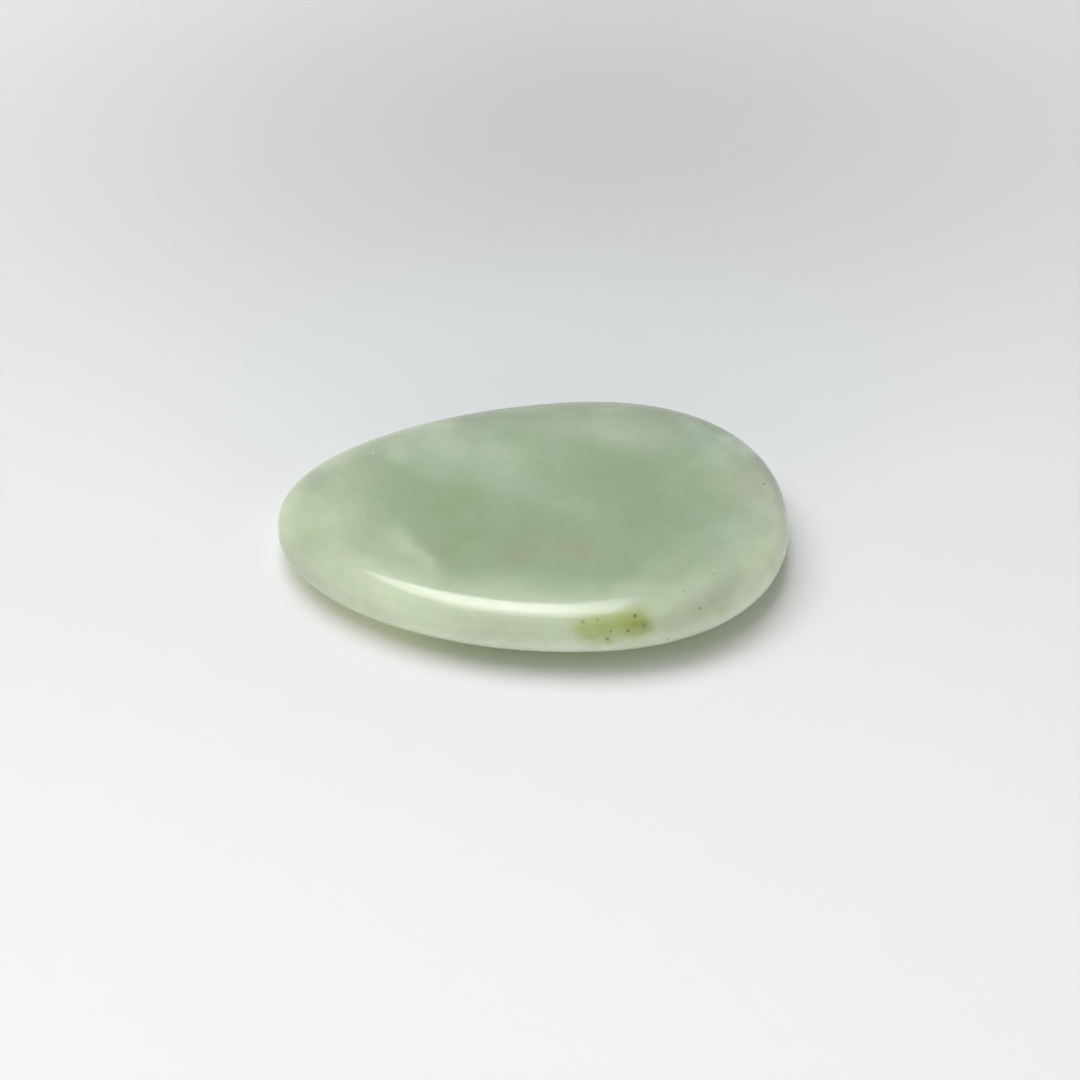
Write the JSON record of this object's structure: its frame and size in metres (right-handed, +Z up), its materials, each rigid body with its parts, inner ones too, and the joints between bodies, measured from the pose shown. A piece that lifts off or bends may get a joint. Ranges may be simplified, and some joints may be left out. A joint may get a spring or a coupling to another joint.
{
  "type": "gua sha scraper",
  "caption": "Palm-size massage stone: a flat, egg-shaped pebble of pale green jade with a full round polished rim.",
  "frame": {"origin": "centre of the box's underside, on the surface that the stone lies on", "axes": "+X along the long axis towards the wide end, +Y across the stone, +Z up through its thickness"},
  "size_m": [0.08, 0.05, 0.0092],
  "materials": {
    "jade": "gloss"
  },
  "bodies": {
    "root": {"jade_stone": "jade"}
  },
  "joints": []
}
